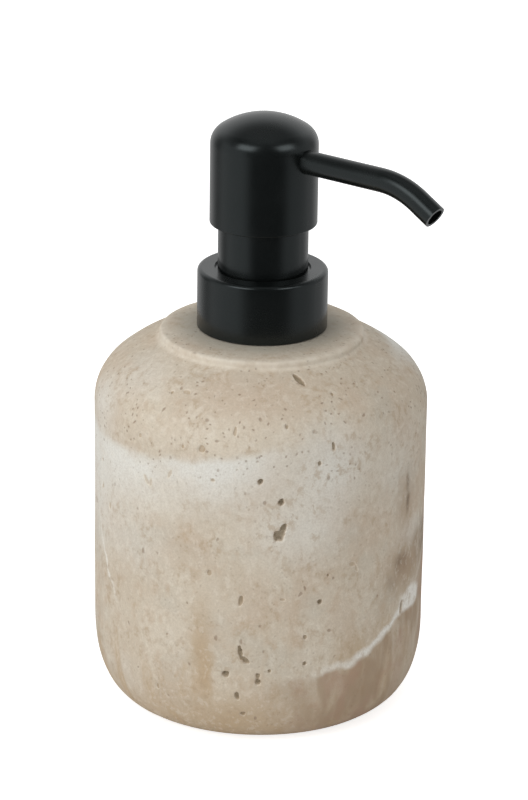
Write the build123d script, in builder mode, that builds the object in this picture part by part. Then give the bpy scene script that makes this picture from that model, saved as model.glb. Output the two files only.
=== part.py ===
"""Soap pump dispenser: a cast stone bottle with a screw-on lotion pump under a domed metal head.

Millimetres, +Z up. The origin is the centre of the base pad's lower face.
The spout points along +X at rest. Every piece is a separate solid in its own file.
"""

import os

from build123d import *

# ------------------------------ driving dimensions
# stone bottle
body_radius = 42.5
base_proud = 0.5
base_flat_radius = 31.5
base_corner_height = 21.2
base_corner_fullness = 0.64
side_top = 79.3
shoulder_lower_radius = 13.75
shoulder_lower_turn = 50.8
shoulder_upper_radius = 41.4
shoulder_upper_turn = 18.2
boss_height = 1.8
boss_edge_round = 0.7
crown_height = 0.8
cavity_radius = 32.0
cavity_floor = 9.0
cavity_wall_top = 84.0
cavity_ceiling = 88.5
mouth_radius = 14.2

# plug and pad that close the base
core_hole_radius = 20.0
plug_radius = 24.0
plug_flange = 4.0
pad_radius = 29.0
pad_thickness = 1.5

# 28 mm neck thread, six turns to the inch
thread_pitch = 25.4 / 6
neck_root_radius = 12.5
neck_crest_radius = 13.6
neck_bore_radius = 10.6
neck_top = 109.3
neck_thread_start = 102.9
neck_thread_turns = 1.15
cap_thread_turns = 1.25
thread_gap = 0.3

# collar, its guide neck and the head
collar_radius = 16.5
collar_bottom = 99.4
collar_top = 114.6
collar_wall = 1.2
collar_web = 1.0
collar_edge_round = 1.1
collar_groove_width = 0.8
collar_groove_depth = 0.55
guide_radius = 11.38
guide_bore_radius = 10.35
guide_top = 129.0
head_radius = 13.55
head_wall = 1.5
head_bottom = 126.4
head_side_top = 146.9
head_corner_round = 5.0
head_top = 154.5
press_travel = 11.5

# spout
spout_height = 144.6
spout_radius = 3.0
spout_bore_radius = 2.25
spout_root = 4.5
spout_straight_end = 36.0
spout_bend_radius = 21.9
spout_bend = 31.0
spout_tip_length = 5.9

# pump cylinder and what runs in it
housing_bore_radius = 7.4
housing_wall = 1.0
housing_flange_radius = 13.2
housing_top = 112.0
piston_bore_bottom = 66.0
retainer_bore_radius = 5.2
retainer_bore_bottom = 60.0
ball_chamber_radius = 3.1
valve_hole_radius = 1.5
seat_bottom = 55.7
dip_tube_radius = 3.0
dip_tube_bore_radius = 2.2
dip_tube_bottom = 12.0
housing_tail_bottom = 46.0
ball_radius = 2.4
ball_lift = 1.5
stem_radius = 4.4
stem_bore_radius = 2.6
stem_foot_radius = 3.5
stem_top = 138.0
pin_flange_bottom = 87.0
pin_flange_top = 88.4
piston_bottom = 88.7
piston_top = 96.6
piston_float = 1.0
spring_wire_radius = 0.4
spring_coil_radius = 5.4
spring_turns = 6.5
running_gap = 0.05
loose_gap = 0.3

os.makedirs("parts", exist_ok=True)


def half_section(*points):
    """A closed half outline in the XZ plane, given as (radius, height) points, to be turned about Z."""
    with BuildSketch(Plane.XZ) as section:
        with BuildLine():
            Polyline(*points, close=True)
        make_face()
    return section.sketch


def tube_section(inner, outer, bottom, top):
    """The half section of a plain ring or tube."""
    return half_section((inner, bottom), (outer, bottom), (outer, top), (inner, top))


def finish(piece, name):
    """Label a finished piece and write its STEP file."""
    piece.part.label = name
    export_step(piece.part, f"parts/{name}.step")


# ------------------------------ stone body
with BuildPart() as stone_body:
    corner_run = body_radius - base_flat_radius
    side_bottom = base_proud + base_corner_height
    with BuildSketch(Plane.XZ) as outer_section:
        with BuildLine() as outer_line:
            base_line = Line((0, base_proud), (base_flat_radius, base_proud))
            corner = Bezier(
                base_line @ 1,
                (base_flat_radius + base_corner_fullness * corner_run, base_proud),
                (body_radius, side_bottom - base_corner_fullness * base_corner_height),
                (body_radius, side_bottom),
            )
            side = Line(corner @ 1, (body_radius, side_top))
            shoulder = JernArc(side @ 1, (0, 1), shoulder_lower_radius, shoulder_lower_turn)
            upper = JernArc(shoulder @ 1, shoulder % 1, shoulder_upper_radius, shoulder_upper_turn)
            boss_foot = upper @ 1
            boss_rim = (boss_foot.X, boss_foot.Y + boss_height)
            boss_top = boss_foot.Y + boss_height + crown_height
            boss_side = Line(boss_foot, boss_rim)
            crown = Line(boss_side @ 1, (collar_radius, boss_top))
            lid = Line(crown @ 1, (0, boss_top))
            Line(lid @ 1, base_line @ 0)
        make_face()
    revolve(axis=Axis.Z)
    rim_edges = stone_body.edges().filter_by(GeomType.CIRCLE).filter_by(
        lambda edge: abs(edge.radius - boss_foot.X) < 0.01
    )
    fillet(rim_edges.sort_by(Axis.Z)[-1], boss_edge_round)
    with BuildSketch(Plane.XZ):
        with BuildLine():
            wall = FilletPolyline(
                (0, cavity_floor),
                (cavity_radius, cavity_floor),
                (cavity_radius, cavity_wall_top),
                (mouth_radius, cavity_ceiling),
                (mouth_radius, boss_top),
                radius=(6, 9, 2),
            )
            Line(wall @ 1, (0, boss_top))
            Line((0, boss_top), (0, cavity_floor))
        make_face()
    revolve(axis=Axis.Z, mode=Mode.SUBTRACT)
    insert_flange_radius = mouth_radius + 1.0
    insert_flange_bottom = boss_top - 1.2
    plug_top = base_proud + 1.0 + plug_flange
    pad_recess_top = base_proud + 1.0
    revolve(tube_section(0, insert_flange_radius, insert_flange_bottom, boss_top), Axis.Z, mode=Mode.SUBTRACT)
    revolve(tube_section(0, core_hole_radius, plug_top, cavity_floor), Axis.Z, mode=Mode.SUBTRACT)
    revolve(tube_section(0, plug_radius, pad_recess_top, plug_top), Axis.Z, mode=Mode.SUBTRACT)
    revolve(tube_section(0, pad_radius + 0.1, base_proud, pad_recess_top), Axis.Z, mode=Mode.SUBTRACT)
finish(stone_body, "stone_body")

# ------------------------------ base plug, glued into the core hole
with BuildPart() as base_plug:
    revolve(
        half_section(
            (0, pad_recess_top),
            (plug_radius, pad_recess_top),
            (plug_radius, plug_top),
            (core_hole_radius, plug_top),
            (core_hole_radius, cavity_floor + 1.0),
            (core_hole_radius - 2.0, cavity_floor + 1.0),
            (core_hole_radius - 2.0, plug_top),
            (0, plug_top),
        ),
        Axis.Z,
    )
finish(base_plug, "base_plug")

# ------------------------------ foam pad under the base
with BuildPart() as base_pad:
    Cylinder(pad_radius, pad_thickness, align=(Align.CENTER, Align.CENTER, Align.MIN))
    fillet(base_pad.edges().sort_by(Axis.Z)[0], 0.3)
finish(base_pad, "base_pad")


# ------------------------------ thread ridge shared by neck and cap
def ridge(start_height, root_radius, crest_radius, turns, half_width):
    """A blunt-ended helical ridge whose section narrows from its root to its crest."""
    outward = 1 if crest_radius > root_radius else -1
    buried = 0.25 * outward
    with BuildPart() as thread:
        with BuildLine() as path:
            Helix(thread_pitch, thread_pitch * turns, root_radius, center=(0, 0, start_height))
        with BuildSketch(Plane(path.line @ 0, x_dir=(1, 0, 0), z_dir=path.line % 0)):
            with BuildLine():
                Polyline(
                    (-buried, -half_width),
                    (crest_radius - root_radius, -0.5 * half_width),
                    (crest_radius - root_radius, 0.5 * half_width),
                    (-buried, half_width),
                    close=True,
                )
            make_face()
        sweep(path=path.line, is_frenet=True)
    return thread.part


# ------------------------------ threaded neck, bonded into the mouth
with BuildPart() as neck_insert:
    revolve(
        half_section(
            (neck_bore_radius, cavity_ceiling - 1.0),
            (mouth_radius, cavity_ceiling - 1.0),
            (mouth_radius, insert_flange_bottom),
            (insert_flange_radius, insert_flange_bottom),
            (insert_flange_radius, boss_top),
            (neck_root_radius, boss_top),
            (neck_root_radius, neck_top),
            (neck_bore_radius, neck_top),
        ),
        Axis.Z,
    )
    add(ridge(neck_thread_start, neck_root_radius, neck_crest_radius, neck_thread_turns, 1.1))
finish(neck_insert, "neck_insert")

# ------------------------------ neck gasket under the housing flange
gasket_bottom = neck_top + 0.1
gasket_top = gasket_bottom + 1.2
with BuildPart() as neck_gasket:
    revolve(tube_section(neck_bore_radius, housing_flange_radius, gasket_bottom, gasket_top), Axis.Z)
finish(neck_gasket, "neck_gasket")

# ------------------------------ threaded cap inside the collar
cap_outer_radius = collar_radius - collar_wall
cap_bore_radius = neck_crest_radius + thread_gap
cap_crest_radius = neck_root_radius + thread_gap
cap_web_bottom = housing_top + 0.2
cap_web_top = collar_top - collar_web
with BuildPart() as closure_cap:
    revolve(
        half_section(
            (cap_bore_radius, collar_bottom + 0.4),
            (cap_outer_radius, collar_bottom + 0.4),
            (cap_outer_radius, cap_web_top),
            (8.9, cap_web_top),
            (8.9, cap_web_bottom),
            (cap_bore_radius, cap_web_bottom),
        ),
        Axis.Z,
    )
    cap_thread_start = neck_thread_start - thread_pitch / 2
    add(ridge(cap_thread_start, cap_bore_radius, cap_crest_radius, cap_thread_turns, 0.7))
finish(closure_cap, "closure_cap")

# ------------------------------ metal collar drawn in one with its guide neck
with BuildPart() as collar_shell:
    revolve(
        half_section(
            (cap_outer_radius, collar_bottom),
            (collar_radius, collar_bottom),
            (collar_radius, collar_top),
            (guide_radius + collar_groove_width, collar_top),
            (guide_radius + collar_groove_width, collar_top - collar_groove_depth),
            (guide_radius, collar_top - collar_groove_depth),
            (guide_radius, guide_top),
            (guide_bore_radius, guide_top),
            (guide_bore_radius, cap_web_top),
            (cap_outer_radius, cap_web_top),
        ),
        Axis.Z,
    )
    outer_circles = collar_shell.edges().filter_by(GeomType.CIRCLE)
    top_edges = outer_circles.filter_by(lambda edge: abs(edge.radius - collar_radius) < 0.01)
    fillet(top_edges.sort_by(Axis.Z)[-1], collar_edge_round)
    lip_edges = collar_shell.edges().filter_by(GeomType.CIRCLE).group_by(Axis.Z)[-1]
    fillet(lip_edges, 0.3)
finish(collar_shell, "collar_shell")

# ------------------------------ pump cylinder
housing_radius = housing_bore_radius + housing_wall
tail_radius = dip_tube_radius + 1.3
chamber_bottom = seat_bottom + ball_chamber_radius - valve_hole_radius
with BuildPart() as pump_housing:
    revolve(
        half_section(
            (housing_bore_radius, housing_top),
            (housing_flange_radius, housing_top),
            (housing_flange_radius, gasket_top),
            (housing_radius, gasket_top),
            (housing_radius, piston_bore_bottom - 1.0),
            (retainer_bore_radius + 1.1, piston_bore_bottom - 3.0),
            (retainer_bore_radius + 1.1, retainer_bore_bottom - 1.0),
            (tail_radius, chamber_bottom),
            (tail_radius, housing_tail_bottom),
            (dip_tube_radius, housing_tail_bottom),
            (dip_tube_radius, seat_bottom - 1.0),
            (valve_hole_radius, seat_bottom - 1.0),
            (valve_hole_radius, seat_bottom),
            (ball_chamber_radius, chamber_bottom),
            (ball_chamber_radius, retainer_bore_bottom),
            (retainer_bore_radius, retainer_bore_bottom),
            (retainer_bore_radius, piston_bore_bottom),
            (housing_bore_radius, piston_bore_bottom),
        ),
        Axis.Z,
    )
    vent_height = piston_top + 1.6
    with BuildSketch(Plane.YZ):
        with Locations((0, vent_height)):
            Circle(0.6)
    extrude(amount=housing_radius + 1.0, mode=Mode.SUBTRACT)
finish(pump_housing, "pump_housing")

# ------------------------------ chaplet: snaps into the cylinder and guides the stem
chaplet_skirt_bottom = 103.0
chaplet_guide_bottom = 99.6
chaplet_top = 117.5
with BuildPart() as chaplet:
    revolve(
        half_section(
            (stem_radius + running_gap, chaplet_guide_bottom),
            (6.2, chaplet_guide_bottom),
            (6.2, chaplet_skirt_bottom),
            (housing_bore_radius, chaplet_skirt_bottom),
            (housing_bore_radius, housing_top),
            (8.6, housing_top),
            (8.6, cap_web_top + 0.2),
            (9.8, cap_web_top + 0.2),
            (9.8, cap_web_top + 1.4),
            (6.2, cap_web_top + 1.4),
            (6.2, chaplet_top),
            (stem_radius + running_gap, chaplet_top),
        ),
        Axis.Z,
    )
finish(chaplet, "chaplet")

# ------------------------------ hollow stem with two inlet ports
stem_foot = pin_flange_top
stem_shoulder = piston_top + piston_float + 0.2
with BuildPart() as stem:
    revolve(
        half_section(
            (stem_bore_radius, stem_foot),
            (stem_foot_radius, stem_foot),
            (stem_foot_radius, stem_shoulder),
            (5.4, stem_shoulder),
            (5.4, stem_shoulder + 1.4),
            (stem_radius, stem_shoulder + 1.4),
            (stem_radius, stem_top),
            (stem_bore_radius, stem_top),
        ),
        Axis.Z,
    )
    port_top = stem_foot + 2.0
    with BuildSketch(Plane.XZ.offset(-stem_foot_radius - 1.0)):
        with Locations((0, (stem_foot + port_top) / 2)):
            Rectangle(2.4, port_top - stem_foot)
    extrude(amount=2 * stem_foot_radius + 2.0, mode=Mode.SUBTRACT)
    chamfer(stem.edges().filter_by(GeomType.CIRCLE).group_by(Axis.Z)[-1].sort_by(SortBy.RADIUS)[-1], 0.4)
finish(stem, "stem")

# ------------------------------ valve pin: pressed into the stem, seats the piston
with BuildPart() as valve_pin:
    revolve(
        half_section(
            (0, pin_flange_bottom - 4.0),
            (1.6, pin_flange_bottom - 4.0),
            (2.2, pin_flange_bottom - 3.0),
            (2.2, pin_flange_bottom),
            (6.4, pin_flange_bottom),
            (6.4, pin_flange_top - 0.5),
            (5.6, pin_flange_top),
            (1.7, pin_flange_top),
            (1.7, port_top),
            (stem_bore_radius, port_top),
            (stem_bore_radius, port_top + 8.0),
            (1.9, port_top + 9.0),
            (0, port_top + 9.0),
        ),
        Axis.Z,
    )
    with BuildSketch(Plane.XY.offset(port_top)):
        with PolarLocations(stem_bore_radius, 4, start_angle=45):
            Circle(0.9)
    extrude(amount=9.0, mode=Mode.SUBTRACT)
finish(valve_pin, "valve_pin")

# ------------------------------ piston: two sealing lips on a sleeve that floats on the stem
piston_outer = housing_bore_radius - running_gap
piston_waist = (piston_bottom + piston_top) / 2
with BuildPart() as piston:
    revolve(
        half_section(
            (stem_foot_radius + running_gap, piston_bottom),
            (5.0, piston_bottom),
            (5.0, piston_waist - 0.8),
            (6.7, piston_bottom),
            (piston_outer, piston_bottom),
            (piston_outer, piston_bottom + 1.2),
            (6.6, piston_waist),
            (piston_outer, piston_top - 1.2),
            (piston_outer, piston_top),
            (6.7, piston_top),
            (5.0, piston_waist + 0.8),
            (5.0, piston_top),
            (stem_foot_radius + running_gap, piston_top),
        ),
        Axis.Z,
    )
finish(piston, "piston")

# ------------------------------ ball retainer: caps the ball chamber, carries the spring
retainer_bottom = 61.8
retainer_top = piston_bore_bottom + 1.0
with BuildPart() as ball_retainer:
    revolve(
        half_section(
            (3.4, retainer_bottom),
            (retainer_bore_radius, retainer_bottom),
            (retainer_bore_radius, piston_bore_bottom),
            (7.0, piston_bore_bottom),
            (7.0, retainer_top),
            (3.4, retainer_top),
        ),
        Axis.Z,
    )
    with BuildSketch(Plane.XY.offset(retainer_bottom)):
        with PolarLocations(0, 2, angular_range=180):
            Rectangle(7.4, 1.2)
    extrude(amount=1.4)
finish(ball_retainer, "ball_retainer")

# ------------------------------ inlet ball on its conical seat
ball_seat_contact = ball_radius * 2**0.5
ball_centre = seat_bottom + ball_seat_contact - valve_hole_radius + running_gap
with BuildPart() as inlet_ball:
    with Locations((0, 0, ball_centre)):
        Sphere(ball_radius)
finish(inlet_ball, "inlet_ball")

# ------------------------------ return spring
spring_foot = retainer_top + spring_wire_radius
spring_height = pin_flange_bottom - 2 * spring_wire_radius - retainer_top
with BuildPart() as return_spring:
    with BuildLine() as coil:
        Helix(spring_height / spring_turns, spring_height, spring_coil_radius, center=(0, 0, spring_foot))
    with BuildSketch(Plane(coil.line @ 0, z_dir=coil.line % 0)):
        Circle(spring_wire_radius * 0.95)
    sweep(path=coil.line, is_frenet=True)
finish(return_spring, "return_spring")

# ------------------------------ dip tube, cut at a slant
with BuildPart() as dip_tube:
    revolve(
        tube_section(dip_tube_bore_radius, dip_tube_radius, dip_tube_bottom, seat_bottom - 1.0),
        Axis.Z,
    )
    with BuildSketch(Plane.XZ.offset(-dip_tube_radius - 1.0)):
        with BuildLine():
            Polyline(
                (-dip_tube_radius - 1.0, dip_tube_bottom - 1.0),
                (dip_tube_radius + 1.0, dip_tube_bottom - 1.0),
                (dip_tube_radius + 1.0, dip_tube_bottom + 5.0),
                close=True,
            )
        make_face()
    extrude(amount=2 * dip_tube_radius + 2.0, mode=Mode.SUBTRACT)
finish(dip_tube, "dip_tube")

# ------------------------------ domed head shell
cap_drop = head_top - head_side_top
corner_centre = head_radius - head_corner_round
dome_radius = (corner_centre**2 + cap_drop**2 - head_corner_round**2) / (2 * (cap_drop - head_corner_round))


def head_outline(inset):
    """Half section of the head's solid form, drawn in by an inset from its outer face."""
    side_radius = head_radius - inset
    corner_round = head_corner_round - inset
    crown_radius = dome_radius - inset
    dome_centre = head_top - dome_radius
    rise = head_side_top - dome_centre
    reach = (corner_centre**2 + rise**2) ** 0.5
    touch = Vector(corner_centre, rise) * (crown_radius / reach)
    with BuildSketch(Plane.XZ) as section:
        with BuildLine():
            skirt = Line((side_radius, head_bottom), (side_radius, head_side_top))
            turn = RadiusArc(skirt @ 1, (touch.X, dome_centre + touch.Y), -corner_round)
            crown = RadiusArc(turn @ 1, (0, dome_centre + crown_radius), -crown_radius)
            Polyline(crown @ 1, (0, head_bottom), skirt @ 0)
        make_face()
    return section.sketch


with BuildPart() as head_shell:
    revolve(head_outline(0), Axis.Z)
    revolve(head_outline(head_wall), Axis.Z, mode=Mode.SUBTRACT)
    with BuildSketch(Plane.YZ):
        with Locations((0, spout_height)):
            Circle(spout_radius + 0.05)
    extrude(amount=head_radius + 1.0, mode=Mode.SUBTRACT)
    fillet(head_shell.edges().filter_by(GeomType.CIRCLE).group_by(Axis.Z)[0], 0.4)
finish(head_shell, "head_shell")

# ------------------------------ plastic core that joins stem, head and spout
core_radius = head_radius - head_wall
core_bottom = 131.0
core_waist_radius = guide_bore_radius - 0.4
core_waist_bottom = 137.4
core_shelf = spout_height - spout_radius / 2
core_top = 149.2
ring_groove_start = 7.6
ring_groove_width = 1.9
with BuildPart() as actuator_core:
    revolve(
        half_section(
            (0, core_bottom),
            (6.6, core_bottom),
            (6.6, core_waist_bottom),
            (core_waist_radius, core_waist_bottom),
            (core_waist_radius, core_shelf),
            (core_radius, core_shelf),
            (core_radius, head_side_top),
            (core_radius - 2.3, core_top),
            (0, core_top),
        ),
        Axis.Z,
    )
    stem_hole_radius = stem_radius + running_gap
    revolve(tube_section(0, stem_hole_radius, core_bottom, stem_top + loose_gap), Axis.Z, mode=Mode.SUBTRACT)
    revolve(tube_section(0, stem_bore_radius, stem_top, spout_height), Axis.Z, mode=Mode.SUBTRACT)
    with BuildSketch(Plane.YZ):
        with Locations((0, spout_height)):
            Circle(spout_bore_radius)
    extrude(amount=spout_root, mode=Mode.SUBTRACT)
    with BuildSketch(Plane.YZ.offset(spout_root)):
        with Locations((0, spout_height)):
            Circle(spout_radius)
    extrude(amount=core_radius, mode=Mode.SUBTRACT)
    with BuildSketch(Plane.YZ.offset(ring_groove_start)):
        with Locations((0, spout_height)):
            Circle(spout_radius + 1.3)
    extrude(amount=ring_groove_width, mode=Mode.SUBTRACT)
finish(actuator_core, "actuator_core")

# ------------------------------ O-ring that seals the spout in the core
with BuildPart() as spout_o_ring:
    with BuildSketch(Plane.XZ):
        with Locations((ring_groove_start + ring_groove_width / 2, spout_height + spout_radius + 0.65)):
            Circle(0.65)
    revolve(axis=Axis((0, 0, spout_height), (1, 0, 0)))
finish(spout_o_ring, "spout_o_ring")

# ------------------------------ bent spout tube
with BuildPart() as spout_tube:
    with BuildLine(Plane.XZ) as spout_path:
        level = Line((spout_root, spout_height), (spout_straight_end, spout_height))
        bend = JernArc(level @ 1, (1, 0), spout_bend_radius, -spout_bend)
        Line(bend @ 1, (bend @ 1) + (bend % 1) * spout_tip_length)
    with BuildSketch(Plane.YZ.offset(spout_root)):
        with Locations((0, spout_height)):
            Circle(spout_radius)
            Circle(spout_bore_radius, mode=Mode.SUBTRACT)
    sweep(path=spout_path.line)
finish(spout_tube, "spout_tube")

# ------------------------------ plastic ring that guides the head on the neck
guide_ring_bottom = head_bottom + 0.6
guide_ring_top = guide_top + 2.2
with BuildPart() as head_guide_ring:
    revolve(
        tube_section(
            guide_radius + 2 * running_gap, head_radius - head_wall, guide_ring_bottom, guide_ring_top
        ),
        Axis.Z,
    )
finish(head_guide_ring, "head_guide_ring")
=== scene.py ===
"""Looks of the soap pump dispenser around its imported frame. Metres, +Z up, spout along +X."""

import math
import random

import bmesh
import bpy
from mathutils import Matrix, Vector, kdtree, noise


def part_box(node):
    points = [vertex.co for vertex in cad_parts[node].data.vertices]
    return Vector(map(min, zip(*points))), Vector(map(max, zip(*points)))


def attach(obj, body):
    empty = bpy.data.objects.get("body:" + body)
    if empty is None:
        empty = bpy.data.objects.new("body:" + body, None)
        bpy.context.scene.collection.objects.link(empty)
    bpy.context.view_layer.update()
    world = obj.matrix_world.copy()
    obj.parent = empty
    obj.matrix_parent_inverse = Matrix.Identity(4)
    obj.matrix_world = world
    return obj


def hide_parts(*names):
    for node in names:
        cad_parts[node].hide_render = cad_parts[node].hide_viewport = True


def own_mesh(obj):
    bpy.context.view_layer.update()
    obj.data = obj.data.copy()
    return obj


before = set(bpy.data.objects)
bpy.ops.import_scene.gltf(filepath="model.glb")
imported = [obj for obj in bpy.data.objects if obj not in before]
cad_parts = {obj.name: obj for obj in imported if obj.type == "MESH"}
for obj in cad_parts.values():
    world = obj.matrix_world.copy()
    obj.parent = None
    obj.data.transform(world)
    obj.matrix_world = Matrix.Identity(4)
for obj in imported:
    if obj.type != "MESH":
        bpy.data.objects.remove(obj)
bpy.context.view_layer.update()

MM = 0.001

# ---------------------------------------------------------------- sizes
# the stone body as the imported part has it, in millimetres; arcs are a start and a turn in degrees
BODY_RADIUS = 42.5
BASE_LEVEL = 0.5
BASE_FLAT_RADIUS = 31.5
BASE_CORNER_HEIGHT = 21.2
BASE_CORNER_POWER = 2.3
BASE_CORNER_STEPS = 27
SIDE_TOP = 79.3
SHOULDER_RADII = (13.75, 41.4)
SHOULDER_TURNS = (50.8, 18.2)
BOSS_HEIGHT = 1.8
BOSS_FOOT_ROUND = 0.5
BOSS_FOOT_ARC = (250, -70)
BOSS_EDGE_ROUND = 0.9
BOSS_EDGE_ARC = (0, 86)
CROWN_HEIGHT = 0.8
COLLAR_RADIUS = 16.5
FLANGE_SEAT_RADIUS = 15.2
FLANGE_SEAT_DEPTH = 1.2
MOUTH_RADIUS = 14.2
CAVITY_RADIUS = 32.0
CAVITY_FLOOR = 9.0
CAVITY_FLOOR_ROUND = 6.0
CAVITY_WALL_TOP = 84.0
CAVITY_CEILING = 88.5
CORE_HOLE_RADIUS = 20.0
PLUG_RADIUS = 24.0
PLUG_TOP = 5.5
PAD_RECESS_RADIUS = 29.1
PAD_RECESS_TOP = 1.5

# the stone's mesh: steps along its outline in millimetres, segments round it, and where its edges are sharp
GRID_STEP = 1.0
FINE_STEP = 0.15
CAVITY_STEP = 2.0
RING_SEGMENTS = 264
SHARP_ANGLE = math.radians(50)

# the scattered pits: how many, their random seed, and their range in degrees around and in height
SCATTERED_PITS = 70
PIT_SEED = 7
PLAIN_SIDES = (30, 245)
PIT_HEIGHTS = (4, 94)

# the return spring, in millimetres and turns
SPRING_COIL_RADIUS = 5.4
SPRING_WIRE_RADIUS = 0.38
SPRING_TURNS = 8
SPRING_CLOSED_TURNS = 1


# ---------------------------------------------------------------- shader helpers
def opaque(colour):
    """A plain colour with full alpha, as a colour socket takes it; a socket stays as it is."""
    return (*colour, 1.0) if isinstance(colour, tuple) else colour


class Shader:
    """A node material under construction, with short calls for the nodes that repeat."""

    def __init__(self, name):
        self.material = bpy.data.materials.new(name)
        self.material.use_nodes = True
        self.tree = self.material.node_tree
        self.surface = self.tree.nodes["Principled BSDF"]
        coordinates = self.tree.nodes.new("ShaderNodeTexCoord")
        self.place = self.vector("SCALE", coordinates.outputs["Object"], scale=1 / MM)

    def link(self, source, socket):
        if isinstance(source, bpy.types.NodeSocket):
            self.tree.links.new(source, socket)
        elif source is not None:
            socket.default_value = source

    def math(self, operation, a, b=None):
        node = self.tree.nodes.new("ShaderNodeMath")
        node.operation = operation
        self.link(a, node.inputs[0])
        self.link(b, node.inputs[1])
        return node.outputs[0]

    def vector(self, operation, a, b=None, scale=None):
        node = self.tree.nodes.new("ShaderNodeVectorMath")
        node.operation = operation
        self.link(a, node.inputs[0])
        self.link(b, node.inputs[1])
        if scale is not None:
            node.inputs["Scale"].default_value = scale
        return node.outputs["Value" if operation in ("DOT_PRODUCT", "LENGTH") else "Vector"]

    def stretched(self, place, stretch):
        place = self.place if place is None else place
        if stretch == (1, 1, 1):
            return place
        return self.vector("DIVIDE", place, stretch)

    def noise(self, size, detail=3.0, stretch=(1, 1, 1), place=None, roughness=0.5, colour=False):
        """Perlin noise with features of about the given size in millimetres."""
        node = self.tree.nodes.new("ShaderNodeTexNoise")
        node.inputs["Scale"].default_value = 1.0 / size
        node.inputs["Detail"].default_value = detail
        node.inputs["Roughness"].default_value = roughness
        self.link(self.stretched(place, stretch), node.inputs["Vector"])
        return node.outputs["Color" if colour else 0]

    def cells(self, size, place=None, stretch=(1, 1, 1)):
        """Distance to the nearest of scattered points, in cell sizes."""
        node = self.tree.nodes.new("ShaderNodeTexVoronoi")
        node.inputs["Scale"].default_value = 1.0 / size
        self.link(self.stretched(place, stretch), node.inputs["Vector"])
        return node.outputs["Distance"]

    def ramp(self, value, low, high, out_low=0.0, out_high=1.0):
        """Smooth step from out_low at low to out_high at high."""
        node = self.tree.nodes.new("ShaderNodeMapRange")
        node.interpolation_type = "SMOOTHSTEP"
        self.link(value, node.inputs["Value"])
        limits = {"From Min": low, "From Max": high, "To Min": out_low, "To Max": out_high}
        for name, number in limits.items():
            node.inputs[name].default_value = number
        return node.outputs["Result"]

    def mix(self, amount, under, over):
        node = self.tree.nodes.new("ShaderNodeMix")
        node.data_type = "RGBA"
        self.link(amount, node.inputs["Factor"])
        self.link(opaque(under), node.inputs["A"])
        self.link(opaque(over), node.inputs["B"])
        return node.outputs["Result"]

    def product(self, *factors):
        value = factors[0]
        for factor in factors[1:]:
            value = self.math("MULTIPLY", value, factor)
        return value

    def plane_distance(self, normal, level, place=None):
        """Signed distance in millimetres from the plane normal . p = level."""
        along = self.vector("DOT_PRODUCT", self.place if place is None else place, normal)
        return self.math("SUBTRACT", along, level)

    def blob(self, centre, radii, place=None):
        """One at a point, falling smoothly to nothing at an ellipsoid's surface."""
        offset = self.vector("SUBTRACT", self.place if place is None else place, centre)
        distance = self.vector("LENGTH", self.vector("DIVIDE", offset, radii))
        return self.ramp(distance, 0.0, 1.0, 1.0, 0.0)

    def bump(self, height, distance, strength):
        """A normal for relief of the given height; distance is in millimetres."""
        node = self.tree.nodes.new("ShaderNodeBump")
        node.inputs["Distance"].default_value = distance * MM
        node.inputs["Strength"].default_value = strength
        self.link(height, node.inputs["Height"])
        return node.outputs["Normal"]

    def finish(self, colour, roughness, normal=None, **plain):
        self.link(opaque(colour), self.surface.inputs["Base Color"])
        self.link(roughness, self.surface.inputs["Roughness"])
        self.link(normal, self.surface.inputs["Normal"])
        for name, value in plain.items():
            self.surface.inputs[name.replace("_", " ")].default_value = value
        return self.material


def around(angle, height, radius=BODY_RADIUS):
    """A point in millimetres from degrees around the axis, counted from the spout, and a height."""
    turn = math.radians(angle)
    return (radius * math.cos(turn), radius * math.sin(turn), height)


def plane_through(*corners):
    """Unit normal (upward) and level of the plane through three points."""
    a, b, c = (Vector(corner) for corner in corners)
    normal = (b - a).cross(c - a).normalized()
    if normal.z < 0:
        normal = -normal
    return tuple(normal), normal.dot(a)


# ---------------------------------------------------------------- stone material
BEIGE = (0.575, 0.495, 0.390)
SAND = (0.630, 0.560, 0.455)
ROSE = (0.560, 0.452, 0.345)
ASH = (0.510, 0.475, 0.400)
TAN = (0.520, 0.400, 0.285)
HONEY = (0.680, 0.605, 0.495)
IVORY = (0.735, 0.720, 0.665)
CHALK = (0.800, 0.775, 0.715)
RUST = (0.480, 0.350, 0.215)
RUDDY_BROWN = (0.415, 0.275, 0.195)
BROWN = (0.330, 0.225, 0.140)
UMBER = (0.170, 0.118, 0.075)
DARK_GRAIN = (0.34, 0.28, 0.205)
COARSE_GRAIN = (0.42, 0.315, 0.21)
PALE_FLECK = (0.76, 0.71, 0.62)
PORE = (0.235, 0.155, 0.10)
# pit colours: the darker slope and floor are partly earthy fill and partly painted shade in the hollows;
# the light lip is a painted highlight
PIT_SLOPE_FILL_AND_SHADE = (0.44, 0.335, 0.225)
PIT_FLOOR_FILL_AND_SHADE = (0.31, 0.26, 0.18)
PIT_LIP_HIGHLIGHT = (0.76, 0.69, 0.58)
# the boss edge's lighter colour is partly wear and partly a painted highlight; the grey near the collar is
# partly grime and partly painted shade
WORN_RIM_AND_HIGHLIGHT = (0.73, 0.67, 0.57)
GRIME_AND_COLLAR_SHADE = (0.30, 0.285, 0.24)


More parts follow.
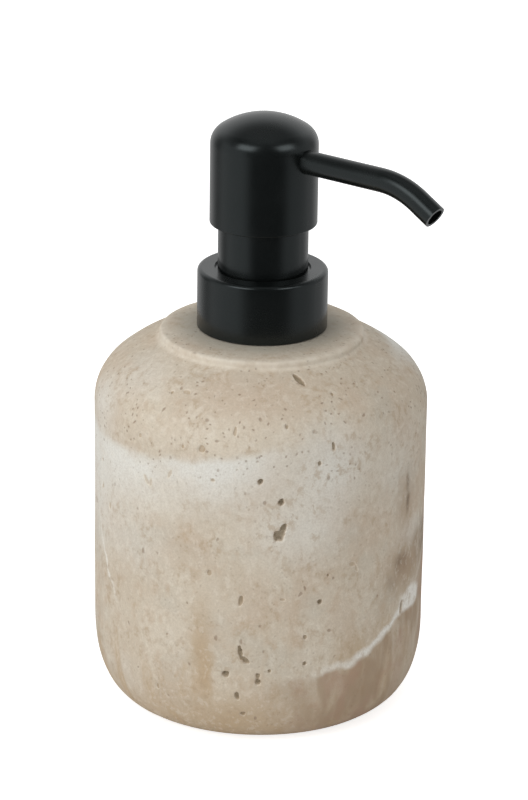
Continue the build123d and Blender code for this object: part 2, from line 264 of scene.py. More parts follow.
class Travertine(Shader):
    """Honed travertine. Each method lays its colours over those laid before it."""

    def __init__(self):
        super().__init__("stone")
        drift = self.vector("SUBTRACT", self.noise(30.0, 2.0, colour=True), (0.5, 0.5, 0.5))
        self.flow = self.vector("ADD", self.place, self.vector("SCALE", drift, scale=12.0))
        wisp = self.vector("SUBTRACT", self.noise(6.0, 3.0, colour=True), (0.5, 0.5, 0.5))
        self.fine_flow = self.vector("ADD", self.place, self.vector("SCALE", wisp, scale=3.4))
        self.height = self.plane_distance((0, 0, 1), 0.0)
        self.towards_spout = self.plane_distance((1, 0.25, 0), 0.0)
        self.colour = BEIGE

    def lay(self, colour, *amounts):
        """Cover the stone so far with a colour, as far as the product of the amounts says."""
        self.colour = self.mix(self.product(*amounts), self.colour, colour)

    def lay_blobs(self, colour, blobs, *amounts):
        """Soft ellipsoids of a colour, each as (centre, radii, strength)."""
        for centre, radii, strength in blobs:
            self.lay(colour, self.blob(centre, radii, place=self.fine_flow), *amounts, strength)

    def ground(self):
        """Drifting beige, sand, rose and ash, with a tan mottle."""
        self.lay(SAND, self.ramp(self.noise(20.0, 3.0, place=self.flow), 0.34, 0.66))
        self.lay(ROSE, self.ramp(self.noise(11.0, 4.0, (1, 1, 1.5), place=self.flow), 0.45, 0.68), 0.6)
        self.lay(ASH, self.ramp(self.noise(13.0, 4.0, (1.3, 1.3, 1)), 0.50, 0.70), 0.4)
        mottle = self.noise(3.6, 4.0, (1, 1, 1.3), place=self.flow, roughness=0.6)
        self.lay(TAN, self.ramp(mottle, 0.52, 0.70), 0.5)
        self.lay_blobs(ROSE, ((around(-58, 92, 35), (26, 24, 9), 0.8),))
        self.lay_blobs(HONEY, ((around(-66, 83), (34, 26, 9), 0.8),))

    def ivory_bank(self):
        """A pale bank that dips across the front and fades towards the spout, with haze below it."""
        normal, level = plane_through(around(-114, 75.2), around(-76, 77.3), around(-36, 83.4))
        above = self.plane_distance(normal, level, place=self.fine_flow)
        bank = self.product(self.ramp(above, -1.6, 1.4, 1.0, 0.0), self.ramp(above, -21.0, -2.0))
        bank = self.product(bank, self.ramp(self.plane_distance((1, 0, 0), 0.0), 20.0, 38.0, 1.0, 0.0))
        patches = self.ramp(self.noise(12.0, 3.0, (1.6, 1.6, 1), place=self.flow), 0.3, 0.58, 0.55, 1.0)
        self.bank = self.product(bank, patches)
        self.lay(IVORY, self.bank)
        self.lay_blobs(IVORY, (
            (around(-28, 75), (18, 17, 18), 0.8),
            (around(-38, 60), (24, 20, 16), 0.6),
            (around(2, 70), (16, 18, 20), 0.35),
            (around(14, 51), (9, 12, 6), 0.5),
            (around(-128, 62), (24, 24, 30), 0.75),
            (around(-124, 84), (14, 16, 10), 0.6),
            (around(-110, 92, 36), (14, 16, 8), 0.4),
            (around(-100, 52), (18, 18, 16), 0.35),
            (around(-108, 11), (16, 18, 12), 0.5),
            (around(110, 50), (30, 22, 18), 0.70),
            (around(176, 72), (24, 26, 14), 0.80),
        ))

    def warm_base(self):
        """Browner stone towards the base, in upright streaks."""
        streaks = self.ramp(self.noise(5.0, 3.0, (1, 1, 9.0), place=self.flow), 0.48, 0.70)
        self.lay(RUST, streaks, self.ramp(self.height, 3.0, 50.0, 1.0, 0.0), 0.75)
        self.lay(RUST, self.ramp(self.height, 0.0, 24.0, 0.62, 0.0))
        self.lay_blobs(RUST, (
            (around(-72, 26), (5, 5, 22), 0.7),
            (around(-69.5, 20), (3, 3, 14), 0.8),
            (around(-62, 6), (18, 18, 13), 0.7),
            (around(-17, 22), (9, 9, 16), 0.45),
            (around(150, 28), (9, 9, 26), 0.60),
        ))

    def stains_and_vein(self):
        """Brown stains below a white vein on the spout side, smudges above it, and a chalk patch on it."""
        normal, level = plane_through(around(-36, 20.2), around(-15, 23.0), around(8, 31.0))
        above = self.plane_distance(normal, level, place=self.fine_flow)
        spout_side = self.ramp(self.towards_spout, 16.0, 36.0)
        self.under_vein = self.product(self.ramp(above, -1.6, 0.2, 1.0, 0.0), spout_side)
        stain = self.ramp(self.noise(4.5, 4.0, (1, 1, 3.5), place=self.flow), 0.34, 0.62, 0.2, 0.78)
        self.lay(BROWN, self.under_vein, stain)
        ruddy = self.ramp(self.noise(5.5, 3.0, (1, 1, 1.8), place=self.fine_flow), 0.45, 0.62)
        self.lay(RUDDY_BROWN, self.under_vein, ruddy, 0.6)
        self.lay_blobs(BEIGE, ((around(16, 12), (15, 15, 13), 0.6),))

        fleck = self.ramp(self.noise(3.5, 2.0, (1, 1, 1.4)), 0.34, 0.56, 0.4, 1.0)
        smudges = (
            (around(6, 44.5), (5.5, 5, 4.5), 1.0),
            (around(0, 40), (5, 5, 4), 0.35),
            (around(26, 46), (12, 12, 8), 0.9),
        )
        self.lay_blobs(UMBER, smudges, fleck)
        self.lay_blobs(BROWN, (
            (around(12, 42), (13, 18, 12), 0.75),
            (around(8, 60), (6, 8, 13), 0.5),
        ))
        self.lay_blobs(UMBER, ((around(9, 62), (1.3, 1.7, 9.0), 0.85),))

        line = self.ramp(self.math("ABSOLUTE", above), 0.0, 1.7, 1.0, 0.0)
        clear = self.product(
            self.ramp(self.towards_spout, 26.0, 39.0, 0.0, 1.0),
            self.ramp(self.noise(8.0, 2.0), 0.35, 0.5, 0.65, 1.0),
            self.ramp(self.plane_distance((0, 1, 0), 0.0), 7.0, 13.0, 1.0, 0.2),
        )
        self.lay(CHALK, line, clear)
        patch = self.blob(around(14, 32.5), (8, 10, 5.0), place=self.fine_flow)
        self.lay(CHALK, self.ramp(patch, 0.1, 0.6))

    def chalky_threads(self):
        """Thin pale threads down the left side."""
        normal, level = plane_through(around(-123, 48.7), around(-117.8, 41.5), around(-111.5, 34))
        threads = self.math("PINGPONG", self.plane_distance(normal, level, place=self.fine_flow), 4.5)
        left_side = self.blob(around(-117, 42), (14, 14, 17))
        self.lay(CHALK, self.ramp(threads, 0.0, 0.6, 1.0, 0.0), left_side, 0.9)

    def sandy_grain(self):
        """Sand-like grain in several sizes."""
        self.grain = self.noise(0.5, 2.0, roughness=0.65)
        self.coarse = self.noise(1.7, 4.0, (1, 1, 1.3), place=self.fine_flow, roughness=0.62)
        self.lay(DARK_GRAIN, self.ramp(self.grain, 0.30, 0.72, 0.0, 0.24))
        groups = self.ramp(self.noise(7.0, 2.0), 0.42, 0.60, 0.15, 1.0)
        off_bank = self.math("SUBTRACT", 1.0, self.bank)
        self.lay(COARSE_GRAIN, self.ramp(self.coarse, 0.50, 0.64), groups, off_bank, 0.5)
        above_vein = self.math("SUBTRACT", 1.0, self.under_vein)
        self.lay(PALE_FLECK, self.ramp(self.coarse, 0.36, 0.46, 1.0, 0.0), above_vein, 0.22)

    def pores(self):
        """Fine pores, crowded in places, and more of them on the shoulder."""
        crowd = self.ramp(self.noise(9.0, 2.0), 0.40, 0.58, 0.2, 1.0)
        high = self.ramp(self.height, 60.0, 84.0, 0.35, 1.0)
        specks = self.ramp(self.cells(1.7, place=self.fine_flow), 0.11, 0.24, 1.0, 0.0)
        lone_pores = self.cells(5.2, place=self.fine_flow, stretch=(1, 1, 1.4))
        lone_pores = self.ramp(lone_pores, 0.045, 0.11, 1.0, 0.0)
        self.dots = self.math("MAXIMUM", self.product(specks, crowd, high), lone_pores)
        self.lay(PORE, self.dots, 0.55)

    def pit_colours(self):
        """The modelled pits darken inwards, partly earthy fill and partly painted shade, with a painted
        highlight round their lip.
        """
        attribute = self.tree.nodes.new("ShaderNodeAttribute")
        attribute.attribute_name = "pit"
        depth = attribute.outputs["Fac"]
        # painted shade with some earthy fill: the pits' slopes and floors darken with depth
        self.lay(PIT_SLOPE_FILL_AND_SHADE, self.ramp(depth, 0.05, 0.4), 0.55)
        uneven = self.math("SUBTRACT", self.product(self.noise(0.8), 0.5), 0.25)
        self.lay(PIT_FLOOR_FILL_AND_SHADE, self.ramp(self.math("ADD", depth, uneven), 0.35, 0.95), 0.6)
        # painted highlight round each pit's lip
        self.lay(PIT_LIP_HIGHLIGHT, self.ramp(depth, 0.01, 0.10), self.ramp(depth, 0.12, 0.35, 1.0, 0.0), 0.45)

    def boss(self):
        """The boss edge is lighter, partly wear and partly a painted highlight on its rounded edge; the
        ground near the collar is greyer, partly grime and partly painted shade from the collar.
        """
        reach = self.vector("LENGTH", self.vector("MULTIPLY", self.place, (1, 1, 0)))
        top = self.ramp(self.height, 94.0, 96.5)
        rim = self.product(self.ramp(reach, 23.0, 25.4), self.ramp(reach, 26.2, 27.4, 1.0, 0.0))
        # partly wear, partly a painted highlight on the boss's rounded edge
        self.lay(WORN_RIM_AND_HIGHLIGHT, top, rim, self.ramp(self.noise(4.0), 0.3, 0.6, 0.15, 0.55))
        # partly grime, partly painted shade round the collar's foot
        self.lay(GRIME_AND_COLLAR_SHADE, top, self.ramp(reach, 17.0, 25.5, 0.7, 0.0))

    def surface_finish(self):
        """A fine relief from the grain and the pores, and an uneven dull gloss."""
        relief = self.math("SUBTRACT", self.product(self.grain, 0.35), self.dots)
        relief = self.math("ADD", relief, self.product(self.coarse, 0.7))
        roughness = self.ramp(self.noise(6.0, 3.0), 0.3, 0.7, 0.68, 0.86)
        return self.finish(self.colour, roughness, self.bump(relief, 0.13, 0.8), Specular_IOR_Level=0.35)


def stone_material():
    """The travertine's layers, from the ground colour up."""
    stone = Travertine()
    stone.ground()
    stone.ivory_bank()
    stone.warm_base()
    stone.stains_and_vein()
    stone.chalky_threads()
    stone.sandy_grain()
    stone.pores()
    stone.pit_colours()
    stone.boss()
    return stone.surface_finish()


# ---------------------------------------------------------------- metal, plastic and rubber
def coated_metal():
    """Satin black powder coat: fine orange peel, faint cloudiness in the gloss."""
    s = Shader("satin_black_coat")
    peel = s.noise(0.45, 2.0)
    cloud = s.noise(9.0, 3.0)
    colour = s.mix(s.ramp(cloud, 0.3, 0.7), (0.0034, 0.0042, 0.0041), (0.0048, 0.0057, 0.0055))
    rough = s.math("ADD", s.ramp(cloud, 0.3, 0.7, 0.21, 0.26), s.product(peel, 0.03))
    cool = (0.86, 0.98, 1.0, 1.0)
    return s.finish(colour, rough, s.bump(peel, 0.010, 0.5), Specular_IOR_Level=0.5, Specular_Tint=cool)


def moulded_plastic(name, dark, light, rough, **plain):
    """Moulded plastic: slight flow marks in colour and gloss, with a fine surface grain."""
    s = Shader(name)
    flow = s.noise(6.0, 3.0, (1, 1, 2.5))
    fine = s.noise(0.5, 2.0)
    colour = s.mix(s.ramp(flow, 0.3, 0.7), dark, light)
    gloss = s.math("ADD", s.ramp(flow, 0.3, 0.7, rough - 0.04, rough + 0.04), s.product(fine, 0.05))
    return s.finish(colour, gloss, s.bump(fine, 0.02, 0.5), **plain)


def foam(name, dark, light):
    """Closed-cell foam or soft rubber: small cells, broken colour, no shine."""
    s = Shader(name)
    cells = s.cells(0.7)
    colour = s.mix(s.ramp(cells, 0.1, 0.6), dark, light)
    return s.finish(colour, s.ramp(cells, 0.0, 0.7, 0.95, 0.8), s.bump(cells, 0.15, 0.7))


def drawn_steel():
    """Drawn stainless steel with fine lengthwise die marks."""
    s = Shader("drawn_steel")
    marks = s.noise(0.25, 2.0, (1, 1, 6))
    colour = s.mix(marks, (0.50, 0.50, 0.51), (0.66, 0.66, 0.67))
    return s.finish(colour, s.ramp(marks, 0.2, 0.8, 0.2, 0.38), s.bump(marks, 0.006, 0.5), Metallic=1.0)


# ---------------------------------------------------------------- meshes
def finished_object(bm, name):
    """An object from a bmesh, smooth shaded, with its faces turned outwards."""
    bmesh.ops.recalc_face_normals(bm, faces=bm.faces)
    mesh = bpy.data.meshes.new(name)
    bm.to_mesh(mesh)
    bm.free()
    mesh.polygons.foreach_set("use_smooth", [True] * len(mesh.polygons))
    made = bpy.data.objects.new(name, mesh)
    bpy.context.collection.objects.link(made)
    return made


def arc_points(centre, radius, start, turn, step=GRID_STEP):
    """Points along an arc in degrees, without its first point."""
    count = max(2, round(abs(math.radians(turn)) * radius / step))
    angles = [math.radians(start + turn * (i + 1) / count) for i in range(count)]
    return [(centre[0] + radius * math.cos(a), centre[1] + radius * math.sin(a)) for a in angles]


def line_points(start, end):
    """Points along a line, without its first point."""
    count = max(1, round(math.dist(start, end) / GRID_STEP))
    return [tuple(a + (b - a) * (i + 1) / count for a, b in zip(start, end)) for i in range(count)]


def outer_outline():
    """The stone's outside from the pad recess to the flange seat, as (radius, height) points."""
    points = [(PAD_RECESS_RADIUS, BASE_LEVEL)]
    points += line_points(points[-1], (BASE_FLAT_RADIUS, BASE_LEVEL))
    run = BODY_RADIUS - BASE_FLAT_RADIUS
    for i in range(BASE_CORNER_STEPS):
        turn = math.pi / 2 * (i + 1) / BASE_CORNER_STEPS
        out = math.sin(turn) ** (2 / BASE_CORNER_POWER)
        up = 1 - math.cos(turn) ** (2 / BASE_CORNER_POWER)
        points.append((BASE_FLAT_RADIUS + run * out, BASE_LEVEL + BASE_CORNER_HEIGHT * up))
    points += line_points(points[-1], (BODY_RADIUS, SIDE_TOP))
    lower, upper = SHOULDER_RADII
    lower_centre = (BODY_RADIUS - lower, SIDE_TOP)
    points += arc_points(lower_centre, lower, 0, SHOULDER_TURNS[0])
    turn = math.radians(SHOULDER_TURNS[0])
    upper_centre = (
        lower_centre[0] - (upper - lower) * math.cos(turn),
        lower_centre[1] - (upper - lower) * math.sin(turn),
    )
    points += arc_points(upper_centre, upper, SHOULDER_TURNS[0], SHOULDER_TURNS[1])
    foot = points.pop()
    hollow_centre = (foot[0] + BOSS_FOOT_ROUND, foot[1] + BOSS_FOOT_ROUND)
    points += arc_points(hollow_centre, BOSS_FOOT_ROUND, *BOSS_FOOT_ARC, FINE_STEP)
    rim = foot[1] + BOSS_HEIGHT
    edge_centre = (foot[0] - BOSS_EDGE_ROUND, rim - BOSS_EDGE_ROUND)
    points += arc_points(edge_centre, BOSS_EDGE_ROUND, *BOSS_EDGE_ARC, FINE_STEP)
    crown = (COLLAR_RADIUS, rim + CROWN_HEIGHT)
    points += line_points(points[-1], crown)
    points += line_points(crown, (FLANGE_SEAT_RADIUS, rim + CROWN_HEIGHT))
    return points


def inner_outline(top):
    """The stone's inside from the flange seat down through the cavity to the pad recess."""
    seat = top - FLANGE_SEAT_DEPTH
    floor_corner = (CAVITY_RADIUS - CAVITY_FLOOR_ROUND, CAVITY_FLOOR + CAVITY_FLOOR_ROUND)
    points = [
        (FLANGE_SEAT_RADIUS, seat),
        (MOUTH_RADIUS, seat),
        (MOUTH_RADIUS, CAVITY_CEILING + 1.0),
        (MOUTH_RADIUS + 1.5, CAVITY_CEILING - 0.4),
        (CAVITY_RADIUS - 7.0, CAVITY_WALL_TOP + 1.6),
        (CAVITY_RADIUS - 2.5, CAVITY_WALL_TOP - 1.2),
        (CAVITY_RADIUS - 0.5, CAVITY_WALL_TOP - 4.2),
        (CAVITY_RADIUS, CAVITY_WALL_TOP - 7.0),
    ]
    points += arc_points(floor_corner, CAVITY_FLOOR_ROUND, 0, -90, CAVITY_STEP)
    points += [
        (CORE_HOLE_RADIUS, CAVITY_FLOOR),
        (CORE_HOLE_RADIUS, PLUG_TOP),
        (PLUG_RADIUS, PLUG_TOP),
        (PLUG_RADIUS, PAD_RECESS_TOP),
        (PAD_RECESS_RADIUS, PAD_RECESS_TOP),
    ]
    return points


def turned_mesh(bm, outline, segments):
    """Rings of quads from a closed half outline in millimetres, turned about Z."""
    rings = []
    for radius, height in outline:
        turns = (2 * math.pi * i / segments for i in range(segments))
        rings.append([
            bm.verts.new((radius * math.cos(t) * MM, radius * math.sin(t) * MM, height * MM)) for t in turns
        ])
    for low, high in zip(rings, rings[1:] + rings[:1]):
        for i in range(segments):
            j = (i + 1) % segments
            bm.faces.new((low[i], low[j], high[j], high[i]))


def kd_tree(bm):
    """A search tree over a mesh's vertices."""
    bm.verts.ensure_lookup_table()
    tree = kdtree.KDTree(len(bm.verts))
    for index, vert in enumerate(bm.verts):
        tree.insert(vert.co, index)
    tree.balance()
    return tree


# ---------------------------------------------------------------- pits in the stone
# the larger pits: degrees around from the spout, height, half width, half height, lean to the right, depth
MAIN_PITS = (
    (-45.6, 58.8, 1.4, 1.5, 0, 1), (-44.2, 60.5, 0.8, 1.7, 24, 1), (-45, 67.6, 0.85, 1.0, 0, 1),
    (-34, 95.0, 0.8, 2.6, -22, 1), (-61, 85.6, 0.5, 1.3, 0, 0.5), (-72, 80.6, 0.9, 1.2, 12, 0.4),
    (-27, 81.2, 0.5, 1.2, 0, 0.8), (-32, 77.2, 0.5, 0.6, 0, 0.8), (-52, 73.2, 0.7, 0.8, 20, 0.9),
    (-69, 48.0, 0.7, 0.8, 0, 0.5), (-58, 41.3, 0.65, 1.5, 14, 0.7), (-31, 40.0, 0.6, 0.8, 0, 1),
    (7, 31.3, 0.75, 1.9, 12, 0.9), (-36, 31.0, 0.5, 0.6, 0, 0.7), (-36, 23.8, 0.5, 0.6, 0, 0.8),
    (-58, 27.0, 0.6, 1.9, -8, 1), (-56.4, 25.2, 1.4, 0.65, 40, 0.9), (-63, 21.0, 1.0, 0.9, 0, 0.9),
    (-52, 20.9, 0.65, 0.8, 0, 0.8), (-52, 19.2, 0.7, 0.8, 0, 0.9), (-48, 22.3, 0.5, 0.5, 0, 0.8),
    (-59, 15.0, 0.6, 1.2, -10, 0.9), (-57, 9.8, 0.7, 0.7, 0, 0.6), (-28, 47.0, 0.4, 0.5, 0, 0.8),
    (-84, 72.4, 0.5, 1.5, 24, 0.3), (-94, 69.2, 0.6, 1.6, -30, 0.3), (-92, 68.6, 0.5, 1.4, 10, 0.3),
    (-84, 91.8, 1.1, 0.7, 0, 0.35), (-97, 80.2, 0.6, 0.8, 0, 0.4), (-79, 80.4, 0.4, 0.6, 0, 0.4),
    (-68, 72.8, 0.5, 0.5, 0, 0.5), (-89, 13.6, 0.6, 0.9, 0, 0.4), (-43, 86.6, 0.5, 0.6, 0, 0.6),
    (-44, 41.6, 0.8, 0.5, 0, 0.35), (-19, 48.6, 1.3, 0.8, 20, 0.3), (-17, 47.2, 0.5, 1.1, -20, 0.3),
    (-22, 92.0, 0.5, 0.5, 0, 0.6), (-90, 91.0, 0.5, 0.5, 0, 0.6),
)


def scattered_pits(count, seed):
    """More pits on the sides that the main list leaves plain, in loose groups."""
    dice = random.Random(seed)
    pits = []
    while len(pits) < count:
        angle, height = dice.uniform(*PLAIN_SIDES), dice.uniform(*PIT_HEIGHTS)
        for _ in range(dice.choice((1, 1, 2, 3))):
            half = dice.choice((0.4, 0.5, 0.5, 0.6, 0.8, 1.2))
            pits.append((
                angle + dice.gauss(0, 4), min(95, max(3, height + dice.gauss(0, 4))),
                half, half * dice.uniform(0.8, 2.2), dice.uniform(-30, 30), dice.uniform(0.3, 1.0),
            ))
    return pits


def pit_frame(pit, outline):
    """A pit's centre, tangents, inward direction and half sizes in metres, and its share of the depth."""
    angle, height, half_width, half_height, lean, depth = pit
    index = min(range(1, len(outline) - 1), key=lambda i: abs(outline[i][1] - height))
    radius = outline[index][0]
    before, after = outline[index - 1], outline[index + 1]
    rise = Vector((after[0] - before[0], after[1] - before[1]))
    rise.normalize()
    turn = math.radians(angle)
    outward = Vector((math.cos(turn), math.sin(turn), 0))
    across = Vector((-math.sin(turn), math.cos(turn), 0))
    up = outward * rise.x + Vector((0, 0, rise.y))
    spin = Matrix.Rotation(math.radians(lean), 3, up.cross(across))
    flat = abs(rise.y) < 0.5
    centre = (outward * radius + Vector((0, 0, outline[index][1] if flat else height))) * MM
    inward = up.cross(across).normalized()
    if inward.dot(outward + Vector((0, 0, 1))) > 0:
        inward = -inward
    return centre, spin @ across, spin @ up, inward, half_width * MM, half_height * MM, depth


def ripple(place, size, height):
    """Noise of the given height at a place in metres, with features of a size in millimetres."""
    return height * noise.noise(place / (size * MM))


def refine_near_pits(bm, pits):
    """Two rounds of finer mesh around each pit, the second closer in."""
    for pit_share, margin in ((1.5, 0.7), (1.35, 0.3)):
        near = set()
        tree = kd_tree(bm)
        for centre, _, _, _, half_width, half_height, _ in pits:
            radius = pit_share * max(half_width, half_height) + margin * MM
            for _, index, _ in tree.find_range(centre, radius):
                near.update(bm.verts[index].link_edges)
        bmesh.ops.subdivide_edges(bm, edges=list(near), cuts=1, use_grid_fill=True)


def pit_moves(bm, pits):
    """How each vertex in a pit sinks, by index. The mesh's pit layer gets the depth share."""
    layer = bm.verts.layers.float.new("pit")
    tree = kd_tree(bm)
    deepest, edge, slope = 1.5, 1.12, 0.5
    ragged_edge, uneven_floor = 0.32, 0.3
    moves = {}
    for number, (centre, across, up, inward, half_width, half_height, depth) in enumerate(pits):
        sink = depth * min(deepest * MM, deepest * min(half_width, half_height))
        for _, index, _ in tree.find_range(centre, 1.6 * max(half_width, half_height)):
            vert = bm.verts[index]
            offset = vert.co - centre
            reach = math.hypot(offset.dot(across) / half_width, offset.dot(up) / half_height)
            reach += ragged_edge * noise.noise(vert.co / MM + Vector((number, 0, 0)))
            fall = min(1.0, max(0.0, (edge - reach) / slope))
            fall = fall * fall * (3 - 2 * fall)
            if fall * depth > vert[layer]:
                vert[layer] = fall * depth
                moves[index] = inward * (fall * sink * (1 + ripple(vert.co, 0.7, uneven_floor)))
    return moves


def hone(bm, top):
    """Leave the stone's outside slightly uneven, and its boss edge a little worn."""
    inset = 0.15
    boss_foot = top - CROWN_HEIGHT - BOSS_HEIGHT - 0.4
    boss_edge = 24.0
    for vert in bm.verts:
        radius, height = math.hypot(vert.co.x, vert.co.y) / MM, vert.co.z / MM
        uncovered = radius > COLLAR_RADIUS + 1.5 and height > BASE_LEVEL + 1.0
        outside = radius > CAVITY_RADIUS + 1.0 or height > CAVITY_CEILING + 4.0
        if uncovered and outside:
            out = Vector((vert.co.x, vert.co.y, 0)).normalized()
            wave = ripple(vert.co, 16.0, 0.10) + ripple(vert.co, 5.0, 0.05)
            if height > boss_foot and radius > boss_edge:
                wave += ripple(vert.co, 3.5, 0.16)
            vert.co += out * (wave - inset) * MM


def make_stone():
    """The stone body as a closed mesh with real pits, a hand-honed unevenness and its cavity."""
    outline = outer_outline()
    top = outline[-1][1]
    bm = bmesh.new()
    turned_mesh(bm, outline + inner_outline(top), RING_SEGMENTS)
    pits = [pit_frame(pit, outline) for pit in list(MAIN_PITS) + scattered_pits(SCATTERED_PITS, PIT_SEED)]
    refine_near_pits(bm, pits)
    moves = pit_moves(bm, pits)
    hone(bm, top)
    for index, move in moves.items():
        bm.verts[index].co += move
    made = finished_object(bm, "stone_bottle")
    made.data.set_sharp_from_angle(angle=SHARP_ANGLE)
    return made


stone = make_stone()
stone.data.materials.append(stone_material())
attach(stone, "bottle")
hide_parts("stone_body")


# ---------------------------------------------------------------- finishes of the frame's own nodes
coat = coated_metal()
steel = drawn_steel()
black_plastic = moulded_plastic("black_plastic", (0.010, 0.010, 0.010), (0.014, 0.014, 0.014), 0.5)
natural = moulded_plastic(
    "natural_polypropylene", (0.66, 0.67, 0.65), (0.72, 0.73, 0.71), 0.35, Subsurface_Weight=0.1
)
soft_seal = moulded_plastic(
    "soft_polyethylene", (0.55, 0.60, 0.66), (0.60, 0.65, 0.70), 0.42, Subsurface_Weight=0.1
)
dip_plastic = moulded_plastic(
    "dip_tube_plastic", (0.74, 0.76, 0.76), (0.80, 0.82, 0.82), 0.25, Subsurface_Weight=0.2
)
neck_plastic = moulded_plastic("neck_plastic", (0.42, 0.40, 0.35), (0.47, 0.45, 0.40), 0.5)
plug_plastic = moulded_plastic("plug_plastic", (0.075, 0.07, 0.065), (0.10, 0.095, 0.09), 0.6)
pad_foam = foam("pad_foam", (0.008, 0.008, 0.008), (0.020, 0.020, 0.020))
seal_foam = foam("seal_foam", (0.70, 0.70, 0.67), (0.80, 0.80, 0.78))
nitrile = foam("nitrile_rubber", (0.010, 0.010, 0.010), (0.016, 0.016, 0.016))

FINISHES = {
    "collar_shell": coat, "head_shell": coat, "spout_tube": coat,
    "base_plug": plug_plastic, "base_pad": pad_foam, "neck_insert": neck_plastic,
    "neck_gasket": seal_foam, "closure_cap": black_plastic, "actuator_core": black_plastic,
    "head_guide_ring": black_plastic, "spout_o_ring": nitrile, "pump_housing": natural,
    "chaplet": natural, "stem": natural, "valve_pin": natural, "ball_retainer": natural,
    "piston": soft_seal, "dip_tube": dip_plastic, "inlet_ball": steel,
}
for node, finish in FINISHES.items():
    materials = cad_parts[node].data.materials
    materials.clear()
    materials.append(finish)


# ---------------------------------------------------------------- return spring
def make_spring(low, high):
    """A round-wire compression spring with closed ends, between two heights in metres."""
    coil_radius, wire_radius = SPRING_COIL_RADIUS * MM, SPRING_WIRE_RADIUS * MM
    turns, closed_turns = SPRING_TURNS, SPRING_CLOSED_TURNS
    steps, sides = 36 * turns, 10
    run = high - low - 2 * wire_radius
    closed_pitch = 2.1 * wire_radius
    open_pitch = (run - 2 * closed_turns * closed_pitch) / (turns - 2 * closed_turns)
    bm = bmesh.new()
    rings = []
    height = low + wire_radius
    for i in range(steps + 1):
        turn = i * turns / steps
        angle = 2 * math.pi * turn
        outward = Vector((math.cos(angle), math.sin(angle), 0))
        centre = outward * coil_radius + Vector((0, 0, height))
        ring = []
        for k in range(sides):
            spin = 2 * math.pi * k / sides
            spoke = outward * math.cos(spin) + Vector((0, 0, math.sin(spin)))
            ring.append(bm.verts.new(centre + spoke * wire_radius))
        rings.append(ring)
        closed = turn < closed_turns or turn >= turns - closed_turns
        height += (closed_pitch if closed else open_pitch) * turns / steps
    for ring, following in zip(rings, rings[1:]):
        for k in range(sides):
            j = (k + 1) % sides
            bm.faces.new((ring[k], ring[j], following[j], following[k]))
    bm.faces.new(rings[0])
    bm.faces.new(rings[-1])
    return finished_object(bm, "coil_spring")


# the spring stands on its retainer and shortens by the head's travel when the head is pressed
spring_low, spring_high = (corner[2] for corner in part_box("return_spring"))
spring = make_spring(spring_low, spring_high)
spring.data.materials.append(steel)
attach(spring, "pump")
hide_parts("return_spring")
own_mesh(spring)

# ---------------------------------------------------------------- stage
FLOOR_HALF = 3.0
FLOOR_GLOW_AROUND = 0.12
FLOOR_GLOW_SEEN = 0.74
corners = [(x * FLOOR_HALF, y * FLOOR_HALF, 0) for x, y in ((-1, -1), (1, -1), (1, 1), (-1, 1))]
floor_mesh = bpy.data.meshes.new("floor")
floor_mesh.from_pydata(corners, [], [(0, 1, 2, 3)])
floor = bpy.data.objects.new("floor", floor_mesh)
bpy.context.collection.objects.link(floor)
floor_look = Shader("white_floor")
floor_look.finish(floor_look.mix(floor_look.noise(60.0), (0.78, 0.78, 0.78), (0.80, 0.80, 0.80)), 0.9)
floor_look.surface.inputs["Emission Color"].default_value = (1.0, 1.0, 1.0, 1.0)
floor_rays = floor_look.tree.nodes.new("ShaderNodeLightPath")
seen = floor_rays.outputs["Is Camera Ray"]
floor_glow = floor_look.ramp(seen, 0.0, 1.0, FLOOR_GLOW_AROUND, FLOOR_GLOW_SEEN)
floor_look.link(floor_glow, floor_look.surface.inputs["Emission Strength"])
floor_mesh.materials.append(floor_look.material)
floor.visible_glossy = False

# ---------------------------------------------------------------- camera
VIEW_AZIMUTH = math.radians(37.8)
VIEW_ELEVATION = math.radians(20.6)
VIEW_ROLL = math.radians(0.8)
VIEW_DISTANCE = 0.955
VIEW_TARGET = Vector((0, 0, 0.0787))
LENS = 168.6
LENS_SHIFT = 0.0038


def towards(azimuth, elevation):
    """Unit direction from the object to a place round it, in the view tool's angles."""
    flat = math.cos(elevation)
    return Vector((math.sin(azimuth) * flat, -math.cos(azimuth) * flat, math.sin(elevation)))


back = towards(VIEW_AZIMUTH, VIEW_ELEVATION)
camera = bpy.data.objects.new("camera", bpy.data.cameras.new("camera"))
bpy.context.collection.objects.link(camera)
camera.data.lens = LENS
camera.data.shift_x = LENS_SHIFT
camera.location = VIEW_TARGET + back * VIEW_DISTANCE
camera.rotation_mode = "QUATERNION"
look = (-back).to_track_quat("-Z", "Y")
camera.rotation_quaternion = look @ Matrix.Rotation(VIEW_ROLL, 3, "Z").to_quaternion()
bpy.context.scene.camera = camera


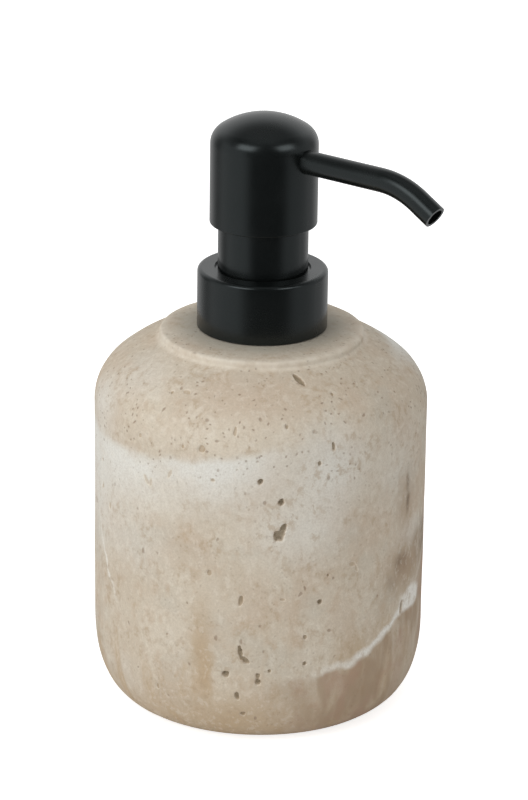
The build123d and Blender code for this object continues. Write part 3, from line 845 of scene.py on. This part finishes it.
# ---------------------------------------------------------------- studio surroundings
class Surroundings(Shader):
    """The world: plain white to look at, a soft fill on matt surfaces, softboxes for gloss to mirror."""

    def __init__(self, name):
        self.world = bpy.data.worlds.new(name)
        self.world.use_nodes = True
        self.tree = self.world.node_tree
        self.surface = self.tree.nodes["Background"]
        directions = self.tree.nodes.new("ShaderNodeTexCoord")
        self.place = directions.outputs["Generated"]

    def softbox(self, turn, elevation, half_width, half_height, edge, strength):
        """A soft-edged panel of light; turn counts rightwards from the camera's side."""
        azimuth = VIEW_AZIMUTH + math.radians(turn)
        centre = towards(azimuth, math.radians(elevation))
        right = towards(azimuth + math.pi / 2, 0)
        up = right.cross(-centre)
        panel = self.ramp(self.vector("DOT_PRODUCT", self.place, tuple(centre)), 0.0, 0.1)
        for axis, half in ((right, half_width), (up, half_height)):
            along = self.math("ABSOLUTE", self.vector("DOT_PRODUCT", self.place, tuple(axis)))
            reach = math.sin(math.radians(half))
            panel = self.product(panel, self.ramp(along, reach - edge, reach + edge, 1.0, 0.0))
        return self.product(panel, strength)


# turn, elevation, half width and half height in degrees, width of the soft edge as a sine, strength
SOFTBOXES = (
    (-70, -14, 34, 40, 0.18, 0.56),
    (84, -14, 32, 40, 0.18, 0.38),
    (-44, 36, 17, 13, 0.10, 2.5),
    (52, 36, 15, 12, 0.10, 2.5),
    (0, 90, 24, 24, 0.20, 0.24),
    (180, 14, 50, 34, 0.25, 0.75),
    (145, -42, 18, 12, 0.10, 0.6),
)
MIRRORED_BASE = 0.08
MATT_FILL = 0.58

studio = Surroundings("studio")
mirrored = MIRRORED_BASE
for panel in SOFTBOXES:
    mirrored = studio.math("ADD", studio.softbox(*panel), mirrored)
rays = studio.tree.nodes.new("ShaderNodeLightPath")
fill = studio.ramp(rays.outputs["Is Camera Ray"], 0.0, 1.0, MATT_FILL, 1.0)
brightness = studio.mix(rays.outputs["Is Glossy Ray"], fill, mirrored)
studio.link(brightness, studio.surface.inputs["Color"])
bpy.context.scene.world = studio.world

# ---------------------------------------------------------------- lights
LIGHT_TARGET = Vector((0, 0, 0.07))


def softlight(name, turn, elevation, distance, width, height, power):
    """An area light at a turn from the camera's side, aimed at the object and left out of reflections."""
    light = bpy.data.lights.new(name, "AREA")
    light.shape = "RECTANGLE"
    light.size, light.size_y = width, height
    light.energy = power
    lamp = bpy.data.objects.new(name, light)
    bpy.context.collection.objects.link(lamp)
    place = towards(VIEW_AZIMUTH + math.radians(turn), math.radians(elevation))
    lamp.location = LIGHT_TARGET + place * distance
    lamp.rotation_mode = "QUATERNION"
    lamp.rotation_quaternion = (-place).to_track_quat("-Z", "Y")
    lamp.visible_glossy = False


softlight("key_left", -50, 18, 0.9, 0.6, 0.8, 2.8)
softlight("overhead", -30, 72, 0.9, 0.8, 0.8, 2.2)

bpy.context.scene.view_settings.view_transform = "Standard"
